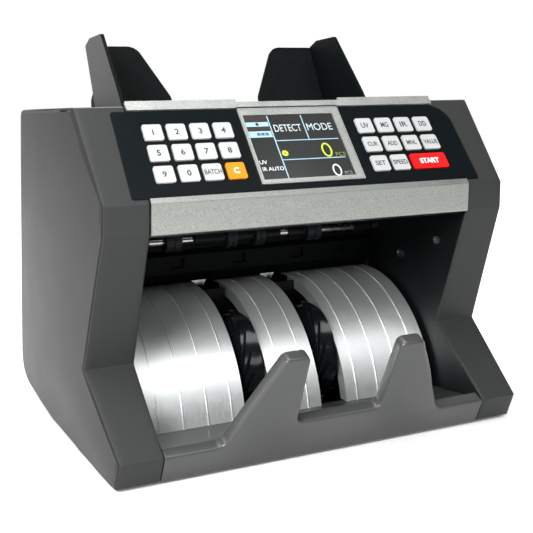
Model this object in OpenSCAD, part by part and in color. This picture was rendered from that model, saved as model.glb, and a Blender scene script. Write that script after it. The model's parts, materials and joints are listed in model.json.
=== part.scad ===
// Banknote counting machine: hopper on top, sloped control panel, open stacker below.
// X runs across the front, the front faces -Y, Z is up.
// The origin is on the table, under the middle of the machine's box.

/* [Body] */
// Width over both side panels, where they bulge most
body_w = 314.6; // [300:0.1:320]
// Width over both side panels along their lower edge
foot_w = 300; // [290:1:310]
// Radius of the side panels' bulge, seen from above
crown_r = 1080; // [900:10:1500]
// Height of the side panels' top edge above the table
panel_top = 233.5; // [230:0.5:238]
// Height of the rubber feet under the front of the base
foot_h = 2; // [2:0.5:3]
// Thickness of the moulded side panels
side_t = 3; // [2:0.5:4]
// Distance from the middle to each cheek's inner face
inner = 120; // [118:0.5:122]
// Wall of the moulded inner shells
wall = 2.5; // [2:0.5:3]

/* [Control panel] */
// Width of a single key
key_w = 13.2; // [12:0.1:14]
// Height of a key along the slope
key_h = 12.7; // [12:0.1:13]
// Spacing of the keys, both ways
key_pitch = 16.5; // [16:0.1:17]
// Gap between a key and the membrane around it
key_gap = 0.35; // [0.3:0.05:0.5]
// Thickness of the printed membrane
membrane_t = 0.8; // [0.6:0.1:1]
// Height of a key top above the membrane
key_proud = 1.1; // [1:0.1:1.5]

/* [Stacker] */
// Radius of the curved stacker plates
plate_r = 92.3; // [91:0.1:93]
// Half of the middle plate's width
mid_half = 19.5; // [18:0.5:20]
// Distance from the middle to each outer plate's inner edge
outer_near = 40.5; // [39:0.5:42]
// Distance from the middle to each outer plate's outer edge
outer_far = 116; // [110:1:118]
// Radius of the impeller wheels over their blades
wheel_r = 38; // [34:0.5:39]
// Width of an impeller wheel
wheel_w = 14; // [10:1:16]

/* [Hopper] */
// Distance from the middle to each guide's outer face
guide_x = 103; // [98:1:106]
// Width of a guide's back plate at its foot
guide_w = 64; // [56:1:66]
// Radius of the feed rollers
feed_r = 15; // [14.8:0.1:15.2]

/* [Shafts] */
// Radius of the steel shafts
shaft_r = 3; // [2.5:0.1:3.5]
// Outer radius of the shaft bearings
bearing_r = 5.5; // [5:0.1:6]
// Radial running clearance of a shaft in its bearing
run_gap = 0.05; // [0.02:0.01:0.1]

/* [Hidden] */
$fn = 64;
half_w = body_w / 2;
// Where the sides bulge most: distance back from the middle, and height above the table
crown_y = 16;
crown_z = 48;
seam = 0.3;

// Outline of the front, as [y, z]: top edge, lip, waist and foot of the cheeks
edge_top = [-61.5, panel_top];
lip_top = [-108.5, 173];
lip_low = [-107, 154.5];
waist = [-67.5, 65.2];
toe_top = [-122.3, 19.5];
toe_low = [-113, foot_h];
// Height of the fingers' tips, up the leaning front
finger_top = 84.5;
// Underside and back of the side panels
rear_low = [146, 31.5];
rear_top = [98, panel_top];
top_strip = 8;
belly = [[42, foot_h], [76, 6.2], [111, 11], [133, 17], [142, 23]];

panel_tilt = atan2(edge_top.y - lip_top.y, edge_top.x - lip_top.x);
front_lean = atan2(toe_low.x - toe_top.x, toe_top.y - toe_low.y);
rear_lean = atan2(rear_low.x - rear_top.x, rear_top.y - rear_low.y);
// The outlines are laid out from the middle of the body. The fingers lean out further than the back
// does, so everything moves back by half the difference, to centre the whole box on the origin.
finger_reach = finger_top * sin(front_lean) - toe_low.x;
centring = (finger_reach - rear_low.x) / 2;

// Stacker: centre of the plates' arc, centre of the impeller shaft, back end of the trays
plate_c = [25, 3.6];
plate_top = plate_c.y + plate_r;
stack_shaft = [-26, 46];
tray_back = -60;
plates_low = 15.6;
// Transport and feed shafts
trans_shaft = [20, 131];
feed_shaft_c = [10, 183];
// Hopper floor: its front edge, its back edge, and the top of the back support
deck_low = [-12, 189];
deck_high = [57.3, 208];
back_top = [69.3, panel_top];
deck_t = 2.5;
back_lean = atan2(back_top.x - deck_high.x, back_top.y - deck_high.y);
deck_tilt = atan2(deck_high.y - deck_low.y, deck_high.x - deck_low.x);
// Guide plates: their thickness, and the front edge of the side plate
guide_t = 2.8;
guide_front = -2;
// Inner frames and drive side
frame_x = 124;
frame_t = 2;
pulley_x = 129;
motor_c = [84, 120];
motor_r = 24;

// Control panel: positions along X, and t measured down the slope from its top edge
keys_t0 = 16.7;
left_x0 = -112.7;
right_x0 = 47.1;
screen_x = [-38.9, 30.9];
screen_t = [10.9, 64.4];
bezel_x = [-41.4, 37.3];
bezel_t = [4.9, 67.8];
membrane_half = 131;
membrane_edge = [5, 73];
trim_low = 4.6;
board_depth = 7.5;
board_z = 15.5;

white = [0.93, 0.93, 0.92];
orange = [0.96, 0.62, 0.1];
red = [0.92, 0.06, 0.06];
graphite = [0.33, 0.33, 0.35];
charcoal = [0.12, 0.12, 0.13];
silver = [0.75, 0.76, 0.75];
black = [0.06, 0.07, 0.08];
steel = [0.6, 0.62, 0.64];

// Each key: name, x, row, width in pitches, colour
DIGITS = [for (i = [0:9]) [str("key_", (i + 1) % 10), left_x0 + (i < 8 ? i % 4 : i - 8) * key_pitch,
                           floor(i / 4), 1, white]];
COMMANDS = [
    ["key_batch", left_x0 + 2 * key_pitch, 2, 1, white],
    ["key_clear", left_x0 + 3 * key_pitch, 2, 1, orange],
    ["key_uv", right_x0, 0, 1, white],
    ["key_mg", right_x0 + key_pitch, 0, 1, white],
    ["key_ir", right_x0 + 2 * key_pitch, 0, 1, white],
    ["key_dd", right_x0 + 3 * key_pitch, 0, 1, white],
    ["key_currency", right_x0, 1, 1, white],
    ["key_add", right_x0 + key_pitch, 1, 1, white],
    ["key_manual", right_x0 + 2 * key_pitch, 1, 1, white],
    ["key_value", right_x0 + 3 * key_pitch, 1, 1, white],
    ["key_set", right_x0, 2, 1, white],
    ["key_speed", right_x0 + key_pitch, 2, 1, white],
    ["key_start", right_x0 + 2 * key_pitch, 2, 2, red]];
KEYS = concat(DIGITS, COMMANDS);

// Extrudes a [y, z] outline along X, from x0 to x1.
module along_x(x0, x1) {
    translate([x0, 0, 0]) rotate([90, 0, 90]) linear_extrude(x1 - x0) children();
}

// A cylinder along X, centred on c = [y, z].
module rod(c, r, x0, x1) {
    translate([x0, c.x, c.y]) rotate([0, 90, 0]) cylinder(r = r, h = x1 - x0);
}

// An upright pillar from a point up to a height.
module rod_up(base, r, top) {
    translate(base) cylinder(r = r, h = top - base.z);
}

// Puts children on the control panel: x across, y up the slope from the top edge, z out of it.
module on_panel() {
    translate([0, edge_top.x, edge_top.y]) rotate([panel_tilt, 0, 0]) children();
}

// A block on the control panel, from x and t ranges, between two heights above it.
module panel_block(xr, tr, low, high, r = 0) {
    on_panel() translate([0, 0, low]) linear_extrude(high - low) panel_rect(xr, tr, r);
}

module panel_rect(xr, tr, r = 0) {
    offset(r = r, $fn = 24) translate([xr.x + r, -tr.y + r]) square([xr.y - xr.x - 2 * r, tr.y - tr.x - 2 * r]);
}

// Puts children on the front bar's leaning face: x across, y up it, z out of it.
module on_front() {
    translate([0, toe_low.x, toe_low.y]) rotate([90 + front_lean, 0, 0]) children();
}

// Puts children on the rear cover: x across (mirrored side kept), y up it, z out to the back.
module on_rear() {
    translate([0, rear_low.x, rear_low.y]) rotate([90 - rear_lean, 0, 180]) mirror([1, 0, 0]) children();
}

// Repeats children on both sides of the middle.
module both_sides() {
    children();
    mirror([1, 0, 0]) children();
}

// Height of the hopper floor at a depth y
function deck_line(y) = deck_low.y + (y - deck_low.x) * tan(deck_tilt);

// Outlines, as [y, z]
module side_outline() {
    polygon(concat([edge_top, lip_top, lip_low, waist, toe_top, toe_low], belly, [rear_low, rear_top]));
}

// The space between the bulging sides, less an inset on both sides
module between_sides(inset) {
    intersection() {
        for_side(1, inset);
        for_side(-1, inset);
        // Below the bulge the sides draw in to the lower edge
        rotate([90, 0, 0]) translate([0, 0, -200]) linear_extrude(400)
            polygon(concat(side_corners(inset), [for (i = [3:-1:0]) mirrored(side_corners(inset)[i])]));
    }
}

function side_corners(inset) = [[foot_w / 2 - inset, 0], [foot_w / 2 - inset, foot_h],
    [half_w - inset, crown_z], [half_w - inset, 300]];

function mirrored(p) = [-p.x, p.y];

module for_side(side, inset) {
    translate([side * (half_w - crown_r), crown_y, -1]) cylinder(r = crown_r - inset, h = 300, $fn = 720);
}

module cheek_outline(back) {
    polygon([edge_top, lip_top, lip_low, waist, toe_top, toe_low, [back, foot_h], [back, panel_top]]);
}

module base_plate() {
    color(charcoal) difference() {
        union() {
            along_x(-inner + seam, inner - seam) base_section(tray_back + seam);
            intersection() {
                along_x(-half_w, half_w) base_section(-29);
                between_sides(side_t + seam);
            }
            // Pillars for the power supply board
            for (x = [-104, 34]) for (p = [[55, 5], [99, 11]]) rod_up([x, p.x, p.y], 3, board_z);
        }
        // Ventilation slots
        for (i = [-4:4]) translate([i * 16 - 3, 0, 0]) cube([6, 34, 8]);
    }
}

module base_section(front) {
    polygon(concat([[front, foot_h]], [for (p = belly) p], [[142, 26], [133, 20], [111, 14], [76, 9.2]],
        [[42, foot_h + 3], [front, foot_h + 3]]));
}

module side_panel() {
    color(graphite) intersection() {
        along_x(inner, half_w) side_outline();
        difference() {
            between_sides(0);
            between_sides(side_t);
        }
    }
}

module front_cheek() {
    color([0.3, 0.3, 0.31]) difference() {
        union() {
            // Front skin, wrapped round from the toe to the top
            intersection() {
                along_x(inner, half_w) intersection() {
                    difference() {
                        cheek_outline(-25);
                        offset(delta = -wall) cheek_outline(-10);
                    }
                    translate([-130, 0]) square([100, panel_top]);
                }
                between_sides(side_t + seam / 2);
            }
            // Inner wall, which is also the side of the stacker space
            along_x(inner, inner + wall) difference() {
                cheek_outline(29);
                translate([-30, panel_top - deck_t - seam]) square([70, 10]);
                translate([-29.3, 0]) square([70, foot_h + 3 + seam]);
            }
        }
        // Clearance holes for the stacker, transport and feed shafts
        rod(stack_shaft, shaft_r + 3, inner - 1, inner + wall + 1);
        rod(trans_shaft, shaft_r + 3, inner - 1, inner + wall + 1);
        rod(feed_shaft_c, shaft_r + 3, inner - 1, inner + wall + 1);
    }
}

bar_t = 9;
bar_side = 19.2;
bar_mid = 29.6;

// Front face of the stacker bar, as [x, height up the face]
module bar_face() {
    offset(r = 4) offset(delta = -8) offset(r = 4) union() {
        translate([-inner - 10, -10]) square([2 * inner + 20, bar_side + 10]);
        translate([-40, -10]) square([80, bar_mid + 10]);
        both_sides() polygon([[86, -10], [81.5, bar_side - 2], [52.5, finger_top - 5], [48.5, finger_top],
            [35, finger_top], [32.5, finger_top - 3], [31, 0], [31, -10]]);
    }
}

module stacker_front_bar() {
    color(graphite) union() {
        intersection() {
            on_front() translate([0, 0, -bar_t]) linear_extrude(bar_t) bar_face();
            translate([-inner + seam, -160, foot_h]) cube([2 * (inner - seam), 120, 100]);
        }
        // Tray floor, falling gently towards the plates
        along_x(-inner + seam, inner - seam)
            polygon([[-114, 19], [tray_back, 15], [tray_back, 12], [-111, 15]]);
        // Ribs that carry the tray on the base
        for (x = [-inner + seam, -60, -1.5, 57, inner - seam - 3])
            along_x(x, x + 3) polygon([[-105, foot_h], [-108, 16], [tray_back, 12.5], [tray_back, foot_h]]);
    }
}

module housing_outline() {
    polygon([edge_top, lip_top, lip_low, [-100, 151], [-60, 149], [-28, 160], [-20, 170],
        [-20.3, 192], [-46, panel_top]]);
}

module control_panel_housing() {
    color(charcoal) difference() {
        union() {
            along_x(-inner + seam, inner - seam) difference() {
                housing_outline();
                offset(delta = -wall) housing_outline();
            }
            // Ends of the shell
            both_sides() along_x(inner - seam - wall, inner - seam) housing_outline();
        }
        // Windows behind the keypads and the display
        panel_block([left_x0 - 2, left_x0 + 4 * key_pitch], [keys_t0 - 2, keys_t0 + 3 * key_pitch], -4, 1);
        panel_block([right_x0 - 2, right_x0 + 4 * key_pitch], [keys_t0 - 2, keys_t0 + 3 * key_pitch], -4, 1);
        panel_block([screen_x.x - 1, screen_x.y + 1], [screen_t.x - 1, screen_t.y + 1], -4, 1);
    }
}

module keypad_membrane() {
    color(black) difference() {
        on_panel() linear_extrude(membrane_t) difference() {
            membrane_shape();
            panel_rect([bezel_x.x - 0.2, bezel_x.y + 0.2], [-2, bezel_t.y + 0.2]);
            for (k = KEYS) offset(delta = key_gap) key_shape(k);
        }
    }
}

// Large round corner at the top right, small ones elsewhere
module membrane_shape() {
    corner = 17;
    difference() {
        panel_rect([-membrane_half, membrane_half], membrane_edge, 2);
        difference() {
            translate([membrane_half - corner, -membrane_edge.x - corner]) square(corner + 1);
            translate([membrane_half - corner, -membrane_edge.x - corner]) circle(corner);
        }
    }
}

function key_t(k) = keys_t0 + k[2] * key_pitch;
function key_width(k) = key_w + (k[3] - 1) * key_pitch;

module key_shape(k) {
    panel_rect([k[1], k[1] + key_width(k)], [key_t(k), key_t(k) + key_h], 1.6);
}

module key_cap(k) {
    color(k[4]) on_panel() translate([0, 0, -3.2]) linear_extrude(3.2 + membrane_t + key_proud) key_shape(k);
}

module display_bezel() {
    color(silver) on_panel() linear_extrude(1.6) difference() {
        panel_rect(bezel_x, bezel_t, 1);
        panel_rect(screen_x, screen_t);
    }
}

module display_module() {
    color([0.2, 0.2, 0.2]) union() {
        panel_block(screen_x + [0.1, -0.1], screen_t + [0.1, -0.1], -5, 0.9);
        panel_block(screen_x + [2, -2], screen_t + [2, -2], -board_depth + 0.2, -4);
    }
}

module top_trim() {
    color(silver) on_panel() linear_extrude(2) difference() {
        panel_rect([-inner + seam, inner - seam], [-2.8, trim_low], 0.5);
        panel_rect([-40.5, 40.5], [-6, -0.6]);
        panel_rect([bezel_x.x - 0.3, bezel_x.y + 0.3], [bezel_t.x - 1, 20]);
    }
}

module front_lip_trim() {
    lip = 1.4;
    color(silver) along_x(-inner + seam, inner - seam) difference() {
        intersection() {
            offset(r = lip) housing_outline();
            translate([-130, lip_low.y - lip]) square([31, 40]);
        }
        housing_outline();
        // Cut square to the slope where the membrane ends
        translate([edge_top.x, edge_top.y]) rotate(panel_tilt)
            translate([-membrane_edge.y - 0.2, -2]) square([120, 10]);
    }
}

plate_t = 1.4;

module plate_band(r0, r1) {
    intersection() {
        difference() {
            translate(plate_c) circle(r1, $fn = 128);
            translate(plate_c) circle(r0, $fn = 128);
        }
        translate([plate_c.x - 100, plates_low]) square([100, 100]);
    }
}

// One curved plate between x0 and x1, with raised ribs at the listed positions.
module stacker_plate(x0, x1, ribs) {
    color(silver) union() {
        along_x(x0, x1) plate_band(plate_r - plate_t, plate_r);
        // Flat tail under the note path guide
        translate([x0, plate_c.x - 0.5, plate_top - plate_t]) cube([x1 - x0, 16, plate_t]);
        for (x = ribs) along_x(x - 0.5, x + 0.5) plate_band(plate_r - plate_t / 2, plate_r + 0.6);
        for (x = [x0, x1 - 1.2]) along_x(x, x + 1.2) plate_band(plate_r - 9, plate_r - plate_t / 2);
    }
}

rib_pitch = 18;
rib_first = outer_near + 9.5;
outer_ribs = [for (i = [0:3]) rib_first + i * rib_pitch];

module rear_cover() {
    color(graphite) difference() {
        intersection() {
            along_x(-half_w, half_w) rear_section();
            between_sides(side_t + seam);
        }
        on_rear() {
            // Opening for the mains inlet and for the switch
            translate([-114.2, 12, -5]) cube([28.4, 20.4, 10]);
            translate([-114.2, 38, -5]) cube([20.4, 13.4, 10]);
            // Ventilation slots
            for (i = [0:9]) translate([10, 30 + i * 9, -5]) cube([90, 3.5, 10]);
        }
    }
}

module rear_section() {
    polygon([rear_low, rear_top, [rear_top.x - top_strip, panel_top], [rear_top.x - top_strip, panel_top - wall],
        [rear_top.x - wall, panel_top - wall], [rear_low.x - wall, rear_low.y], [143.5, 26.5], [144.5, 25]]);
}

module deck_section() {
    polygon([deck_low, deck_high, back_top, [rear_top.x - top_strip - seam, panel_top],
        [rear_top.x - top_strip - seam, panel_top - deck_t], [back_top.x + 1.5, panel_top - deck_t],
        [deck_high.x + 2, deck_high.y - deck_t], [deck_low.x, deck_low.y - deck_t]]);
}

module hopper_deck() {
    color(charcoal) difference() {
        union() {
            along_x(-inner + seam, inner - seam) deck_section();
            both_sides() along_x(inner - seam - wall, inner - seam)
                polygon([deck_low, deck_high, back_top, [-46 + seam, panel_top], [-20, 192]]);
            // Covers over the side compartments
            intersection() {
                both_sides() along_x(inner - seam, half_w) translate([-30 + seam, panel_top - deck_t])
                    square([rear_top.x - top_strip + 30 - 2 * seam, deck_t]);
                between_sides(side_t + seam);
            }
        }
        // Slots for the feed rollers
        both_sides() translate([24, -12, 170]) cube([14, 44, 40]);
        // Slots in which the guides' tongues run
        both_sides() translate([50, 78, panel_top - 10]) cube([66, 6.6, 20]);
    }
}

module note_path_guide() {
    color(black) difference() {
        along_x(-inner + seam, inner - seam) polygon([[34, plate_top], [42, plate_top], [42, 178], [30, 178],
            [30, 142], [34, 138], [34, 122], [30, 118], [30, 104]]);
        // Recesses for the sensors
        for (x = [-90, -52, 0, 52, 90]) translate([x - 6, 20, 108]) cube([12, 13, 8]);
    }
}

// Side guide of the hopper: ribbed back plate, side plate, and a tongue in the deck's slot
module hopper_guide() {
    plate_low = [deck_high.x + 1.2, deck_high.y + 3];
    color(black) union() {
        // Back plate, leaning back on the deck's support
        translate([0, plate_low.x, plate_low.y]) rotate([90 - back_lean, 0, 0])
            translate([0, 0, 1.6]) linear_extrude(guide_t) back_plate_shape();
        // Side plate
        along_x(guide_x - guide_t, guide_x) offset(r = 1.2) offset(delta = -1.2)
            polygon([[28, deck_line(28) + 1.2], [plate_low.x - 4, plate_low.y - 1.2], [89.1, 283.2], [76.5, 288.4],
                [46.4, 289.6], [4.4, 242.4], [guide_front, 234], [guide_front, deck_line(guide_front) + 1.2]]);
        // Arm and tongue behind the back plate
        along_x(guide_x - 12, guide_x - 2)
            polygon([[73.2, 250], [84, 240], [84, 234.2], [83.8, 234.2], [83.8, 222], [78.8, 222],
                [78.8, 234.2], [65.8, 234.2]]);
    }
}

// Outline of the back plate, as [x, height up the lean]: its free top corner is cut off at a slant
module back_plate_shape() {
    top = 77.6;
    intersection() {
        offset(r = 12) offset(delta = -12)
            polygon([[2 * guide_x, -top], [2 * guide_x, top], [guide_x - 41.3, top], [guide_x - guide_w, 31],
                [guide_x - guide_w, -top]]);
        square([guide_x - guide_t / 2, top]);
    }
}

module inner_frame() {
    color(steel) difference() {
        along_x(frame_x, frame_x + frame_t)
            polygon([[-50, 10], [-29, foot_h + 3], [42, foot_h + 3], [76, 9.2], [110, 13.85], [110, 150], [92, 200],
                [-20, 215], [-50, 215], [-50, 150], [-22, 100], [-56, 70]]);
        for (c = [stack_shaft, trans_shaft, feed_shaft_c])
            rod(c, bearing_r, frame_x - 1, frame_x + frame_t + 1);
        rod(motor_c, 9, frame_x - 1, frame_x + frame_t + 1);
    }
}

module shaft(c) {
    color(silver) rod(c, shaft_r, -frame_x - 4, pulley_x + 14);
}

// Toothed pulley on the drive side, between x0 and x0 + 4
module pulley(c, r, x0) {
    difference() {
        rod(c, r, x0, x0 + 4);
        rod(c, shaft_r, x0 - 1, x0 + 5);
    }
}

feed_pulley_r = 12;
trans_pulley_r = 8;
stack_pulley_r = 16;
motor_pulley_r = 6;
belt_t = 1.2;
belt_gap = 0.15;

module feed_shaft() {
    color(silver) union() {
        shaft(feed_shaft_c);
        pulley(feed_shaft_c, feed_pulley_r, pulley_x + 5);
    }
}

module transport_shaft() {
    color(silver) union() {
        shaft(trans_shaft);
        pulley(trans_shaft, trans_pulley_r, pulley_x);
        pulley(trans_shaft, trans_pulley_r, pulley_x + 5);
        pulley(trans_shaft, trans_pulley_r, pulley_x + 10);
    }
}

module stacker_shaft() {
    color(silver) union() {
        shaft(stack_shaft);
        pulley(stack_shaft, stack_pulley_r, pulley_x + 10);
    }
}

// A rubber roller on a shaft, between x0 and x1, with a groove in its middle
module roller(c, r, x0, x1) {
    difference() {
        rod(c, r, x0, x1);
        difference() {
            rod(c, r + 1, (x0 + x1) / 2 - 0.8, (x0 + x1) / 2 + 0.8);
            rod(c, r - 1, x0, x1);
        }
        rod(c, shaft_r, x0 - 1, x1 + 1);
    }
}

module feed_rollers() {
    color(charcoal) both_sides() roller(feed_shaft_c, feed_r, 25, 37);
}

module transport_rollers() {
    color(charcoal) both_sides() {
        roller(trans_shaft, 8.5, 54, 66);
        roller(trans_shaft, 8.5, 8, 16);
    }
}

blade_count = 8;
hub_r = 11;

module impeller() {
    blade_r = (wheel_r + hub_r) / 2 - 3;
    rotate([90, 0, 90]) linear_extrude(wheel_w) difference() {
        union() {
            circle(hub_r);
            // Curved blades that trail from the hub to the rim
            for (i = [0:blade_count - 1]) rotate(i * 360 / blade_count) intersection() {
                translate([wheel_r - blade_r, 0]) difference() {
                    circle(blade_r);
                    circle(blade_r - 1.8);
                }
                translate([-2, -wheel_r]) square([wheel_r + 2, wheel_r]);
            }
        }
        circle(shaft_r);
    }
}

module impeller_wheels() {
    mid = (mid_half + outer_near) / 2;
    color(black) for (x = [-mid - wheel_w / 2, mid - wheel_w / 2])
        translate([x, stack_shaft.x, stack_shaft.y]) impeller();
}

module shaft_bearings() {
    color(steel) for (c = [stack_shaft, trans_shaft, feed_shaft_c]) both_sides() difference() {
        rod(c, bearing_r, frame_x - 0.5, frame_x + frame_t + 1);
        rod(c, shaft_r + run_gap, frame_x - 2, frame_x + frame_t + 2);
    }
}

module drive_motor() {
    color([0.25, 0.25, 0.27]) difference() {
        union() {
            rod(motor_c, motor_r, 58, 118);
            rod(motor_c, 8.5, 118, frame_x + frame_t);
            // Foot that bolts to the base
            along_x(66, 110) polygon([[70, 8.5], [98, 12.3], [98, motor_c.y - 15], [70, motor_c.y - 15]]);
        }
        rod(motor_c, shaft_r + run_gap, 90, frame_x + frame_t + 1);
    }
}

module motor_pulley() {
    color(silver) union() {
        rod(motor_c, shaft_r, 92, pulley_x + 5);
        rod(motor_c, motor_pulley_r, pulley_x, pulley_x + 4);
    }
}

// A belt loop round two pulleys, in the plane that starts at x0
module belt(c0, r0, c1, r1, x0) {
    along_x(x0, x0 + 4) difference() {
        belt_line(c0, r0 + belt_t + belt_gap, c1, r1 + belt_t + belt_gap);
        belt_line(c0, r0 + belt_gap, c1, r1 + belt_gap);
    }
}

module belt_line(c0, r0, c1, r1) {
    hull() {
        translate(c0) circle(r0);
        translate(c1) circle(r1);
    }
}

module drive_belts() {
    color(black) union() {
        belt(motor_c, motor_pulley_r, trans_shaft, trans_pulley_r, pulley_x);
        belt(trans_shaft, trans_pulley_r, feed_shaft_c, feed_pulley_r, pulley_x + 5);
        belt(trans_shaft, trans_pulley_r, stack_shaft, stack_pulley_r, pulley_x + 10);
    }
}

module circuit_boards() {
    color([0.1, 0.35, 0.2]) union() {
        // Keypad and display board behind the panel
        panel_block([-114, 114], [9, 70], -board_depth - 1.6, -board_depth);
        // One dome switch under each key
        for (k = KEYS) on_panel() translate([k[1] + key_width(k) / 2, -key_t(k) - key_h / 2, -board_depth])
            cylinder(r = 2.5, h = board_depth - 4.2);
        // Power supply board on the base, with its transformer and heat sink
        translate([-110, 50, board_z]) cube([150, 55, 1.6]);
        translate([-60, 60, 17]) cube([42, 36, 34]);
        translate([0, 62, 17]) cube([6, 36, 26]);
        for (y = [70, 88]) translate([-90, y, 17]) cylinder(r = 7, h = 24);
    }
}

module power_inlet() {
    color(black) on_rear() difference() {
        union() {
            translate([-117, 10, 0]) cube([34, 24.4, 2]);
            translate([-114, 12.2, -16]) cube([28, 20, 18]);
        }
        translate([-111.8, 14.2, -13]) cube([23.6, 16, 20]);
    }
    color(silver) on_rear() for (p = [[-107, 20], [-100, 24], [-93, 20]])
        translate([p.x - 2, p.y - 1, -14]) cube([4, 2, 12]);
}

switch_c = [-104, 44.7];

module power_switch() {
    color(black) on_rear() intersection() {
        translate([switch_c.x - 9.7, switch_c.y, 0]) rotate([90, 0, 90]) linear_extrude(19.4)
            polygon([[-6, -4], [6, -4], [6, 1.4], [0, 0.4], [-6, 2.6]]);
        translate([switch_c.x - 9.7, switch_c.y, -2]) rotate([0, 90, 0]) cylinder(r = 6.2, h = 19.4);
    }
}

module rubber_feet() {
    color(black) both_sides() {
        translate([104, -88, 0]) cylinder(r = 9, h = foot_h);
        difference() {
            translate([112, 100, 0]) cylinder(r = 9, h = 12);
            along_x(100, 124) polygon([[42, foot_h], [76, 6.2], [111, 11], [111, 20], [42, 20]]);
        }
    }
}

module screw_head(r = 3) {
    difference() {
        cylinder(r = r, h = 1.6);
        translate([-0.4, -r * 0.7, 0.8]) cube([0.8, r * 1.4, 1]);
        translate([-r * 0.7, -0.4, 0.8]) cube([r * 1.4, 0.8, 1]);
    }
}

module panel_screws() {
    color(steel) union() {
        // On the inner walls of the stacker space
        both_sides() for (p = [[-70, 128], [-20, 112]])
            translate([inner, p.x, p.y]) rotate([0, -90, 0]) screw_head();
        // Rear cover, at its corners
        for (x = [-130, 130]) for (h = [14, 190]) on_rear() translate([x, h, 0]) screw_head();
    }
}

translate([0, centring, 0]) {
    base_plate();
    mirror([1, 0, 0]) side_panel();  // left_side_panel
    side_panel();  // right_side_panel
    mirror([1, 0, 0]) front_cheek();  // left_front_cheek
    front_cheek();  // right_front_cheek
    stacker_front_bar();
    control_panel_housing();
    keypad_membrane();
    display_bezel();
    display_module();
    top_trim();
    front_lip_trim();
    stacker_plate(-outer_far, -outer_near, -outer_ribs);  // stacker_plate_left
    stacker_plate(-mid_half, mid_half, [-9.3, 9.3]);  // stacker_plate_middle
    stacker_plate(outer_near, outer_far, outer_ribs);  // stacker_plate_right
    rear_cover();
    hopper_deck();
    note_path_guide();
    mirror([1, 0, 0]) hopper_guide();  // left_guide
    hopper_guide();  // right_guide
    mirror([1, 0, 0]) inner_frame();  // left_inner_frame
    inner_frame();  // right_inner_frame
    feed_shaft();
    feed_rollers();
    transport_shaft();
    transport_rollers();
    stacker_shaft();
    impeller_wheels();
    shaft_bearings();
    drive_motor();
    motor_pulley();
    drive_belts();
    circuit_boards();
    power_inlet();
    power_switch();
    rubber_feet();
    panel_screws();
    for (k = KEYS) key_cap(k);
}
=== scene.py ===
"""Looks of the banknote counting machine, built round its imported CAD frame. Units are metres."""

import json
import math

import bmesh
import bpy
from mathutils import Matrix, Vector


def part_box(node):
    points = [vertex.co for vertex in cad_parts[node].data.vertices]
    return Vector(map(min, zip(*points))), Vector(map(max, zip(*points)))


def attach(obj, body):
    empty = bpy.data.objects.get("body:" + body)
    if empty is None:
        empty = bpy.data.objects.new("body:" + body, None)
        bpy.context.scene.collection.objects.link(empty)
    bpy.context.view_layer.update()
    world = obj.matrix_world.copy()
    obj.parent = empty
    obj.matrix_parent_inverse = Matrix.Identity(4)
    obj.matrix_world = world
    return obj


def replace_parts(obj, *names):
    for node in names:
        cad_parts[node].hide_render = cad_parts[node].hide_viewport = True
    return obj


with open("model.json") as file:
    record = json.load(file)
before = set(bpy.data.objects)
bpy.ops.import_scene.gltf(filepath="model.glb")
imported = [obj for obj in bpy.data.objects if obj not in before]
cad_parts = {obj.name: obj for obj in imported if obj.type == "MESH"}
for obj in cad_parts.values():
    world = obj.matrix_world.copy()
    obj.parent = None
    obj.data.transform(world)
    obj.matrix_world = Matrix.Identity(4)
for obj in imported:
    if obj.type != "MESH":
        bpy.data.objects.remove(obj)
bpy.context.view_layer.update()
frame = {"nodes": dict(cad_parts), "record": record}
scene = bpy.context.scene

# ---------------------------------------------------------------- dimensions
HALF_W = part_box("right_side_panel")[1].x
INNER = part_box("right_front_cheek")[0].x
FOOT_HALF, FOOT_H = 0.150, 0.002
# The sides bulge: radius seen from above, and where they are widest
CROWN_R, CROWN_Y, CROWN_Z = 1.080, 0.016, 0.048
# Outline of the front as (y, z): the top edge, the lip, the waist and the foot of the cheeks
EDGE_TOP = (-0.0615, 0.2335)
LIP_TOP = (-0.1085, 0.173)
LIP_LOW = (-0.107, 0.1545)
WAIST = (-0.0675, 0.0652)
TOE_TOP = (-0.1223, 0.0195)
TOE_LOW = (-0.113, 0.002)
FRONT = [EDGE_TOP, LIP_TOP, LIP_LOW, WAIST, TOE_TOP, TOE_LOW]
BELLY = [(0.042, 0.002), (0.076, 0.0062), (0.111, 0.011), (0.133, 0.017), (0.142, 0.023)]
REAR_LOW = (0.146, 0.0315)
# Outlines here start from the middle of the body; the frame is centred on its whole box
BODY_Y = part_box("right_side_panel")[1].y - REAR_LOW[0]
REAR_TOP = (0.098, 0.2335)
# Control panel: key grid, display and membrane, as x and distance down the slope
KEY_W, KEY_H, KEY_PITCH = 0.0132, 0.0127, 0.0165
KEYS_T0, LEFT_X0, RIGHT_X0 = 0.0167, -0.1127, 0.0471
KEY_TOP = 0.0019
SCREEN_X, SCREEN_T, SCREEN_N = (-0.0389, 0.0309), (0.0109, 0.0644), 0.0009
BEZEL_X, BEZEL_T, BEZEL_N = (-0.0414, 0.0373), (0.0049, 0.0678), 0.0016
# Stacker: plates, wheels and shafts, as (y, z)
WHEEL_C, WHEEL_R, WHEEL_X, WHEEL_W = (-0.026, 0.046), 0.0375, 0.030, 0.014
TRANSPORT_C = (0.020, 0.131)
PLATE_C, PLATE_R = (0.025, 0.0036), 0.0923

slope = Vector((0, LIP_TOP[0] - EDGE_TOP[0], LIP_TOP[1] - EDGE_TOP[1])).normalized()
out_of_panel = slope.cross(Vector((1, 0, 0))).normalized()
if out_of_panel.z < 0:
    out_of_panel.negate()


def on_panel(x, t, n=0.0):
    """A point on the control panel: x across, t down the slope, n out of it."""
    return Vector((x, EDGE_TOP[0], EDGE_TOP[1])) + slope * t + out_of_panel * n


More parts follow.
